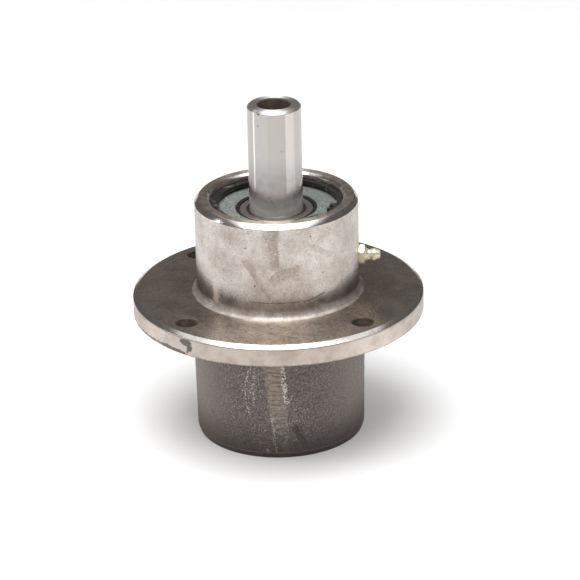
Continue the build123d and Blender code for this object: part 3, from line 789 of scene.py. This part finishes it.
class SPINDLE_OT_housing(bpy.types.Operator):
    """Turns the cast housing, drills its holes and lays on its machined and cast finishes"""

    bl_idname = "spindle.housing"
    bl_label = "Housing"

    def execute(self, context):
        sizes = context.scene.spindle_sizes
        tube, flange = sizes.upper_tube_radius / MM, sizes.flange_radius / MM - 0.03
        low, top = sizes.flange_bottom / MM, (sizes.flange_bottom + sizes.flange_thickness) / MM
        cast_top, cast_end = sizes.lower_tube_top_radius / MM, sizes.lower_tube_end_radius / MM
        height = TOP_Z / MM
        seal_r = sizes.seal_bore_radius / MM
        seal_seat = height - sizes.seal_depth / MM - 5.5
        cup_r, cup_seat, web_r = 34.52, 101.3, 31.0
        upper_bore = [
            (seal_r + 1.25, height, 0.12), (seal_r, height - 1.25, 0.12), (seal_r, 130.5, 0.1), (37.3, 130.5, 0),
            (37.3, 127.9, 0), (seal_r, 127.9, 0.1), (seal_r, seal_seat, 0), (cup_r, seal_seat, 0.1),
            (cup_r, cup_seat, 0.1), (web_r, cup_seat, 0.15),
        ]
        lower_bore = [(r, height - z, soft) for r, z, soft in reversed(upper_bore)]
        outside = [
            (cast_end - 1.05, 0, 0.25), (cast_end, 2.9, 0.35, 0.9), (cast_top, low, 4.0), (flange, low, 0.35),
            (flange, top - 1.6, 0.2), (flange - 2.65, top, 0.25), (tube, top, 4.5), (tube, height - 2.5, 0.18),
            (tube - 2.25, height, 0.18),
        ]
        piece = spun("housing_casting", outside + upper_bore + lower_bore, 300)

        drill_r = sizes.bolt_hole_radius / MM
        for index in range(4):
            turn = radians(45 + 90 * index)
            drill = spun("drill", [
                (0.001, low - 3, 0), (drill_r + 3.6, low - 3, 0), (drill_r, low + 0.6, 0.12), (drill_r, top - 0.6, 0.12),
                (drill_r + 3.6, top + 3, 0), (0.001, top + 3, 0),
            ], 72)
            drill.location = (sizes.bolt_circle_radius * cos(turn), sizes.bolt_circle_radius * sin(turn), 0)
            settle(drill)
            cut_away(piece, drill)
        drill = spun("drill", [
            (0.001, -15, 0), (1.5, -15, 0), (1.5, -7.5, 0), (4.85, -7.5, 0), (4.85, -0.5, 0), (6.35, 1.0, 0), (6.35, 6, 0), (0.001, 6, 0),
        ], 60)
        take(drill)
        bpy.ops.transform.rotate(value=pi / 2, orient_axis="Y", center_override=(0, 0, 0))
        if drill.matrix_world.to_3x3()[0][2] < 0:
            bpy.ops.transform.rotate(value=pi, orient_axis="Z", center_override=(0, 0, 0))
        drill.location = (sizes.upper_tube_radius, 0, 99.25 * MM)
        settle(drill)
        cut_away(piece, drill)

        # relief of the cast skin, only between the foot chamfer and the flange
        rough = piece.vertex_groups.new(name="cast_skin")
        for vertex in piece.data.vertices:
            z, r = vertex.co.z / MM, away_from_axis(vertex.co)
            if r > 44.5 and 2.6 < z < low - 1.0:
                share = min((z - 2.6) / 2.0, (low - 1.0 - z) / 3.0, 1.0)
                rough.add([vertex.index], share, "REPLACE")
        lumps = bpy.data.textures.new("cast_lumps", "CLOUDS")
        lumps.noise_scale = 2.2 * MM
        lumps.noise_depth = 3
        take(piece)
        bpy.ops.object.modifier_add(type="DISPLACE")
        relief = piece.modifiers[-1]
        relief.texture = lumps
        relief.texture_coords = "LOCAL"
        relief.vertex_group = "cast_skin"
        relief.strength = 2 * sizes.cast_relief
        relief.mid_level = 0.5
        bpy.ops.object.modifier_apply(modifier=relief.name)
        smooth(piece)

        lay_on(piece, "bore_wall")
        lay_on(piece, "machined_tube", lambda c, n: away_from_axis(c) > 43.2 and c.z > (top + 0.02) * MM and c.z < (height - 2.4) * MM and away_from_axis(c) < 48.5)
        lay_on(piece, "rim_face", lambda c, n: n.z > 0.9 and c.z > (height - 0.3) * MM)
        lay_on(piece, "bright_cut", lambda c, n: (c.z > (height - 2.6) * MM and 0.2 < n.z < 0.97 and away_from_axis(c) > seal_r)
               or (away_from_axis(c) > flange - 2.9 and 0.25 < n.z < 0.97 and c.z > (top - 1.9) * MM))
        lay_on(piece, "mouth_cut", lambda c, n: c.z > (height - 1.4) * MM and 0.2 < n.z < 0.97 and away_from_axis(c) < seal_r + 1.4)
        lay_on(piece, "flange_face", lambda c, n: abs(n.z) > 0.9 and away_from_axis(c) > 44 and low - 0.3 < c.z / MM < top + 0.3)
        lay_on(piece, "flange_edge", lambda c, n: away_from_axis(c) > flange - 0.3 and abs(n.z) < 0.5)
        bolt_r = sizes.bolt_circle_radius / MM
        lay_on(piece, "hole_wall", lambda c, n: low - 0.1 < c.z / MM < top + 0.1 and any(
            (Vector((c.x / MM - bolt_r * cos(pi / 4 * k), c.y / MM - bolt_r * sin(pi / 4 * k)))).length < drill_r + 0.65 for k in (1, 3, 5, 7)))
        lay_on(piece, "cast_skin", lambda c, n: away_from_axis(c) > 43.0 and c.z < (low + 0.1) * MM and away_from_axis(c) < 50 and not (n.z < -0.97 and c.z > low * MM - 0.0002))
        seat(piece, "housing", "spindle_housing")
        return {"FINISHED"}


class SPINDLE_OT_shaft(bpy.types.Operator):
    """Turns the hollow spindle shaft"""

    bl_idname = "spindle.shaft"
    bl_label = "Shaft"

    def execute(self, context):
        sizes = context.scene.spindle_sizes
        r, journal, bore = sizes.shaft_radius / MM, sizes.journal_radius / MM, sizes.shaft_bore_radius / MM
        foot, top = SHAFT_FOOT_Z / MM, SHAFT_TOP_Z / MM
        shoulder = top - 59.4
        piece = spun("turned_shaft", [
            (bore + 0.5, foot, 0.1), (journal - 0.8, foot, 0.15), (journal, foot + 0.8, 0.15), (journal, shoulder, 0.1),
            (r, shoulder, 0.1), (r, top - 1.25, 0.2), (r - 1.25, top, 0.2), (bore + 0.5, top, 0.12),
            (bore, top - 0.5, 0.12), (bore, foot + 0.5, 0.12),
        ], 200)
        smooth(piece)
        lay_on(piece, "ground_shaft")
        lay_on(piece, "shaft_end", lambda c, n: abs(n.z) > 0.2)
        lay_on(piece, "shaft_bore", lambda c, n: away_from_axis(c) < bore + 0.55)
        seat(piece, "spindle", "spindle_shaft")
        return {"FINISHED"}


class SPINDLE_OT_bushings(bpy.types.Operator):
    """Turns the hardened bushing of each end, on which the seal runs"""

    bl_idname = "spindle.bushings"
    bl_label = "Bushings"

    def execute(self, context):
        bore = context.scene.spindle_sizes.journal_radius / MM + 0.03
        upper = spun("turned_upper_bushing", [
            (bore, 121.15, 0.12), (19.26, 121.15, 0.15), (19.76, 121.65, 0.15), (19.76, 125.8, 0.15), (19.26, 126.3, 0.15),
            (bore + 0.25, 126.3, 0.1), (bore, 126.05, 0.08),
        ], 160)
        smooth(upper)
        lay_on(upper, "sleeve_steel")
        lower = turned_over(upper, "turned_lower_bushing")
        seat(upper, "spindle", "upper_bushing")
        seat(lower, "spindle", "lower_bushing")
        return {"FINISHED"}


class SPINDLE_OT_seals(bpy.types.Operator):
    """Forms the stamped seal cases and moulds their rubber lips"""

    bl_idname = "spindle.seals"
    bl_label = "Shaft seals"

    def execute(self, context):
        outer = context.scene.spindle_sizes.seal_bore_radius / MM - 0.02
        case = spun("stamped_upper_seal_case", [
            (21.8, 125.7, 0.1), (outer - 1.2, 125.7, 0.3), (outer - 1.2, 121.4, 0.15), (outer, 121.4, 0.2),
            (outer, 126.9, 0.8), (21.8, 126.9, 0.25),
        ], 220)
        smooth(case)
        lay_on(case, "seal_coat")
        lip = spun("moulded_upper_seal_lip", [
            (21.8, 126.88, 0.12), (21.0, 126.88, 0.12), (19.82, 126.41, 0.1), (19.82, 125.92, 0.1), (21.0, 125.21, 0.2),
            (21.0, 124.48, 0.2), (19.82, 123.72, 0.1), (19.82, 123.23, 0.1), (21.0, 122.0, 0.15), (22.6, 122.0, 0.2),
            (22.6, 122.64, 0.05), (22.3, 122.85, 0.05), (21.95, 123.3, 0.1), (22.3, 123.75, 0.05), (22.6, 123.96, 0.05),
            (22.6, 124.8, 0.15), (23.4, 124.8, 0.15), (23.4, 125.7, 0.1), (21.8, 125.7, 0.05),
        ], 180)
        smooth(lip)
        lay_on(lip, "seal_rubber")
        lower_case = turned_over(case, "stamped_lower_seal_case")
        lower_lip = turned_over(lip, "moulded_lower_seal_lip")
        seat(case, "housing", "upper_seal_case")
        seat(lower_case, "housing", "lower_seal_case")
        seat(lip, "housing", "upper_seal_lip")
        seat(lower_lip, "housing", "lower_seal_lip")
        return {"FINISHED"}


class SPINDLE_OT_retaining_rings(bpy.types.Operator):
    """Breaks the stamped edges of the retaining rings"""

    bl_idname = "spindle.retaining_rings"
    bl_label = "Retaining rings"

    def execute(self, context):
        for end in ENDS:
            node = f"{end}_retaining_ring"
            ring = solid_copy(node, f"stamped_{node}")
            bpy.ops.object.mode_set(mode="EDIT")
            bpy.ops.mesh.select_all(action="SELECT")
            bpy.ops.mesh.dissolve_limited(angle_limit=radians(1))
            bpy.ops.object.mode_set(mode="OBJECT")
            bpy.ops.object.modifier_add(type="BEVEL")
            edge = ring.modifiers[-1]
            edge.width = 0.16 * MM
            edge.segments = 3
            edge.limit_method = "ANGLE"
            edge.angle_limit = radians(50)
            bpy.ops.object.modifier_apply(modifier=edge.name)
            smooth(ring)
            lay_on(ring, "phosphate_coat")
            seat(ring, "housing", node)
        return {"FINISHED"}


class SPINDLE_OT_grease_fitting(bpy.types.Operator):
    """Turns the grease fitting with its hexagon, waist and head"""

    bl_idname = "spindle.grease_fitting"
    bl_label = "Grease fitting"

    def execute(self, context):
        stem = spun("turned_grease_fitting", [
            (0.9, -7.0, 0), (4.3, -7.0, 0.1), (4.8, -6.5, 0.1), (4.8, 0.3, 0), (4.8, 2.9, 0), (4.75, 2.95, 0.1), (3.35, 3.9, 0.5),
            (2.72, 5.1, 0.4), (2.7, 6.1, 0.25), (3.0, 6.7, 0.3), (3.3, 7.6, 0.4), (3.3, 8.3, 0.3), (2.1, 11.4, 0.3),
            (1.05, 11.4, 0.1), (0.95, 11.25, 0.05), (0.95, 10.9, 0), (1.35, 10.1, 0), (1.35, 2.5, 0), (0.9, 2.5, 0),
        ], 96)
        put_down_all()
        bpy.ops.mesh.primitive_cylinder_add(vertices=6, radius=5.7735 * MM, depth=2.6 * MM, location=(0, 0, 1.6 * MM), rotation=(0, 0, pi / 2))
        hexagon = context.object
        settle(hexagon)
        # turned corners of the hexagon
        guard = spun("guard", [
            (0.001, 0.2, 0), (5.2, 0.2, 0), (5.9, 0.75, 0.1), (5.9, 2.45, 0.1), (5.2, 3.0, 0), (0.001, 3.0, 0),
        ], 96)
        take(hexagon)
        bpy.ops.object.modifier_add(type="BOOLEAN")
        tool = hexagon.modifiers[-1]
        tool.operation, tool.solver, tool.object = "INTERSECT", "EXACT", guard
        bpy.ops.object.modifier_apply(modifier=tool.name)
        bpy.data.objects.remove(guard, do_unlink=True)
        bpy.ops.object.mode_set(mode="EDIT")
        bpy.ops.mesh.select_all(action="DESELECT")
        bpy.ops.object.mode_set(mode="OBJECT")
        for edge in hexagon.data.edges:
            ends = [hexagon.data.vertices[v].co for v in edge.vertices]
            edge.select = abs(ends[0].z - ends[1].z) > 0.8 * MM and abs(ends[0].x - ends[1].x) + abs(ends[0].y - ends[1].y) < 0.1 * MM
        bpy.ops.object.mode_set(mode="EDIT")
        bpy.ops.mesh.bevel(offset=0.15 * MM, segments=2)
        bpy.ops.object.mode_set(mode="OBJECT")
        take(stem)
        bpy.ops.object.modifier_add(type="BOOLEAN")
        tool = stem.modifiers[-1]
        tool.operation, tool.solver, tool.object = "UNION", "EXACT", hexagon
        bpy.ops.object.modifier_apply(modifier=tool.name)
        bpy.data.objects.remove(hexagon, do_unlink=True)
        for vertex in stem.data.vertices:
            vertex.select = True
        bpy.ops.object.mode_set(mode="EDIT")
        bpy.ops.mesh.select_all(action="SELECT")
        bpy.ops.transform.rotate(value=pi / 2, orient_axis="Y", center_override=(0, 0, 0))
        bpy.ops.object.mode_set(mode="OBJECT")
        tip = max(stem.data.vertices, key=lambda v: abs(v.co.x)).co.x
        if tip < 0:
            bpy.ops.object.mode_set(mode="EDIT")
            bpy.ops.mesh.select_all(action="SELECT")
            bpy.ops.transform.rotate(value=pi, orient_axis="Z", center_override=(0, 0, 0))
            bpy.ops.object.mode_set(mode="OBJECT")
        stem.location = (context.scene.spindle_sizes.upper_tube_radius, 0, 99.25 * MM)
        settle(stem)
        smooth(stem)
        lay_on(stem, "zinc_plate")
        seat(stem, "housing", "grease_fitting_body")
        return {"FINISHED"}


class SPINDLE_OT_check_spring(bpy.types.Operator):
    """Copies the coiled spring behind the grease fitting's ball from its solid and lays on its finish; in the real
    fitting it shortens as the ball is pushed in
    """

    bl_idname = "spindle.check_spring"
    bl_label = "Check spring"

    def execute(self, context):
        spring = solid_copy("grease_check_spring", "coiled_check_spring")
        smooth(spring)
        lay_on(spring, "spring_wire")
        seat(spring, "housing", "grease_check_spring")
        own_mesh(spring)
        return {"FINISHED"}


class SPINDLE_OT_solid_finishes(bpy.types.Operator):
    """Gives every piece that keeps its solid shape its finish"""

    bl_idname = "spindle.solid_finishes"
    bl_label = "Finishes of the solid pieces"

    def execute(self, context):
        finishes = {"inner_spacer": "sleeve_steel", "grease_fitting_body": "zinc_plate", "grease_check_ball": "bearing_steel",
                    "grease_check_spring": "spring_wire"}
        for end in ENDS:
            for node, name in (("bushing", "sleeve_steel"), ("bearing_cup", "bearing_steel"), ("bearing_cone", "bearing_steel"),
                               ("bearing_cage", "cage_steel"), ("seal_case", "seal_coat"), ("seal_lip", "seal_rubber"),
                               ("seal_spring", "spring_wire"), ("retaining_ring", "phosphate_coat")):
                finishes[f"{end}_{node}"] = name
        for node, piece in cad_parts.items():
            name = finishes.get(node, "bearing_steel")
            for slot in piece.material_slots:
                slot.material = finish(name)
        return {"FINISHED"}


class SPINDLE_OT_stage(bpy.types.Operator):
    """Adds the pale floor, the soft studio light and the camera at the photograph's view"""

    bl_idname = "spindle.stage"
    bl_label = "Floor, light and camera"

    def execute(self, context):
        put_down_all()
        bpy.ops.mesh.primitive_plane_add(size=12, location=(0, 0, 0))
        floor = context.object
        floor.name = "floor"
        paper = Finish("floor_paper")
        path = paper.node("ShaderNodeLightPath").outputs
        seen = paper.either(path["Is Camera Ray"], path["Is Glossy Ray"], path["Is Transmission Ray"])
        paper.feed(paper.shader.inputs["Emission Color"], (1, 1, 1, 1))
        far = paper.between(paper.vector("LENGTH", paper.place), 0.6, 2.2, 0.14, 0.6)
        paper.feed(paper.shader.inputs["Emission Strength"], paper.math("MULTIPLY", seen, far))
        paper.set(color=(0.8, 0.8, 0.8, 1), rough=0.9, specular=0.1)
        floor.data.materials.append(paper.material)

        world = bpy.data.worlds.new("studio")
        context.scene.world = world
        world.use_nodes = True
        tree = world.node_tree
        background = tree.nodes["Background"]
        background.inputs["Color"].default_value = (1, 1, 1, 1)
        path = tree.nodes.new("ShaderNodeLightPath").outputs
        first = tree.nodes.new("ShaderNodeMath")
        second = tree.nodes.new("ShaderNodeMath")
        level = tree.nodes.new("ShaderNodeMapRange")
        first.operation = second.operation = "MAXIMUM"
        tree.links.new(path["Is Camera Ray"], first.inputs[0])
        tree.links.new(path["Is Glossy Ray"], first.inputs[1])
        tree.links.new(first.outputs[0], second.inputs[0])
        tree.links.new(path["Is Transmission Ray"], second.inputs[1])
        tree.links.new(second.outputs[0], level.inputs[0])
        level.inputs["To Min"].default_value = 0.4
        level.inputs["To Max"].default_value = 1.0
        tree.links.new(level.outputs[0], background.inputs["Strength"])

        def lamp(name, size, place, target, watts):
            put_down_all()
            bpy.ops.object.light_add(type="AREA", location=place)
            light = context.object
            light.name = name
            light.data.shape = "RECTANGLE"
            light.data.size, light.data.size_y = size
            light.data.energy = watts
            light.rotation_euler = (Vector(place) - Vector(target)).to_track_quat("Z", "Y").to_euler()

        lamp("overhead_softbox", (1.2, 1.2), (-0.12, -0.28, 1.45), (0, 0, 0.08), 27)
        lamp("front_fill", (1.2, 0.8), (0.3, -1.9, 0.9), (0, 0, 0.08), 5)
        context.object.visible_glossy = False
        lamp("left_strip", (0.12, 0.9), (-1.28, 0.09, 0.55), (0, 0, 0.1), 1.5)

        # the dim room round the set and the grey paper in front show only in the metal's reflections
        def glow(card, level, tint):
            dim = Finish(card.name)
            dim.set(color=(0, 0, 0, 1), rough=1.0, specular=0.0)
            dim.shader.inputs["Emission Color"].default_value = tint
            dim.shader.inputs["Emission Strength"].default_value = level
            card.data.materials.append(dim.material)
            card.visible_camera = card.visible_diffuse = card.visible_shadow = card.visible_transmission = False
            settle(card)

        put_down_all()
        bpy.ops.mesh.primitive_cylinder_add(vertices=96, radius=2.3, depth=2.62, end_fill_type="NOTHING", location=(0, 0, 1.34))
        context.object.name = "dim_room"
        glow(context.object, 0.09, (1, 0.96, 0.92, 1))
        for name, first, last, level, tint in (
            ("paper_front", -116.2, -41.5, 0.8, (1, 0.955, 0.92, 1)), ("paper_left", -181.0, -116.2, 0.86, (0.98, 0.99, 1, 1)),
            ("paper_right", 2.0, 88.0, 0.86, (1, 0.99, 0.98, 1)), ("paper_edge", -187.5, -181.0, 1.9, (0.96, 0.98, 1, 1)), ("paper_back", -262.0, -187.5, 0.84, (1, 0.99, 0.98, 1)),
        ):
            card = spun(name, [(130, 2, 0), (1100, 2, 0)], 24, first, last)
            glow(card, level, tint)
        put_down_all()
        bpy.ops.mesh.primitive_plane_add(size=1, location=(0.72, -0.46, 1.4))
        card = context.object
        card.name = "white_reflector"
        card.scale = (0.42, 1.0, 1)
        glow(card, 3.5, (1, 1, 1, 1))

        bpy.ops.object.camera_add()
        camera = context.object
        camera.name = "camera"
        pitch, roll, turn = radians(23.396), radians(-1.28), radians(2.6)
        spin_z = Matrix.Rotation(turn, 3, "Z")
        level_right = spin_z @ Vector((1, 0, 0))
        level_up = spin_z @ Vector((0, sin(pitch), cos(pitch)))
        ahead = spin_z @ Vector((0, cos(pitch), -sin(pitch)))
        right = level_right * cos(roll) + level_up * sin(roll)
        up = level_up * cos(roll) - level_right * sin(roll)
        place = spin_z @ Vector((6.3 * MM, -1.58, 0.762))
        camera.matrix_world = Matrix((
            (right.x, up.x, -ahead.x, place.x), (right.y, up.y, -ahead.y, place.y), (right.z, up.z, -ahead.z, place.z), (0, 0, 0, 1),
        ))
        camera.data.sensor_width = 36.0
        camera.data.sensor_fit = "HORIZONTAL"
        camera.data.lens = 3200 / 580 * 36.0
        camera.data.clip_end = 50
        context.scene.camera = camera
        context.scene.view_settings.view_transform = "Standard"
        return {"FINISHED"}


class SPINDLE_PT_panel(bpy.types.Panel):
    bl_idname = "SPINDLE_PT_panel"
    bl_label = "Mower Deck Spindle"
    bl_space_type = "VIEW_3D"
    bl_region_type = "UI"
    bl_category = "Spindle"

    def draw(self, context):
        for operator in OPERATORS:
            self.layout.operator(operator.bl_idname)
        for group in (context.scene.spindle_sizes, context.scene.spindle_colours):
            box = self.layout.box()
            for key in group.__annotations__:
                box.prop(group, key)


OPERATORS = (
    SPINDLE_OT_housing, SPINDLE_OT_shaft, SPINDLE_OT_bushings, SPINDLE_OT_seals, SPINDLE_OT_retaining_rings,
    SPINDLE_OT_grease_fitting, SPINDLE_OT_check_spring, SPINDLE_OT_solid_finishes, SPINDLE_OT_stage,
)
CLASSES = (SpindleSizes, SpindleColours, *OPERATORS, SPINDLE_PT_panel)


def register():
    for made in CLASSES:
        bpy.utils.register_class(made)
    bpy.types.Scene.spindle_sizes = bpy.props.PointerProperty(type=SpindleSizes)
    bpy.types.Scene.spindle_colours = bpy.props.PointerProperty(type=SpindleColours)


def unregister():
    del bpy.types.Scene.spindle_sizes
    del bpy.types.Scene.spindle_colours
    for made in reversed(CLASSES):
        bpy.utils.unregister_class(made)


def main():
    register()
    bpy.ops.spindle.housing()
    bpy.ops.spindle.shaft()
    bpy.ops.spindle.bushings()
    bpy.ops.spindle.seals()
    bpy.ops.spindle.retaining_rings()
    bpy.ops.spindle.grease_fitting()
    bpy.ops.spindle.check_spring()
    bpy.ops.spindle.solid_finishes()
    bpy.ops.spindle.stage()


if __name__ == "__main__":
    main()
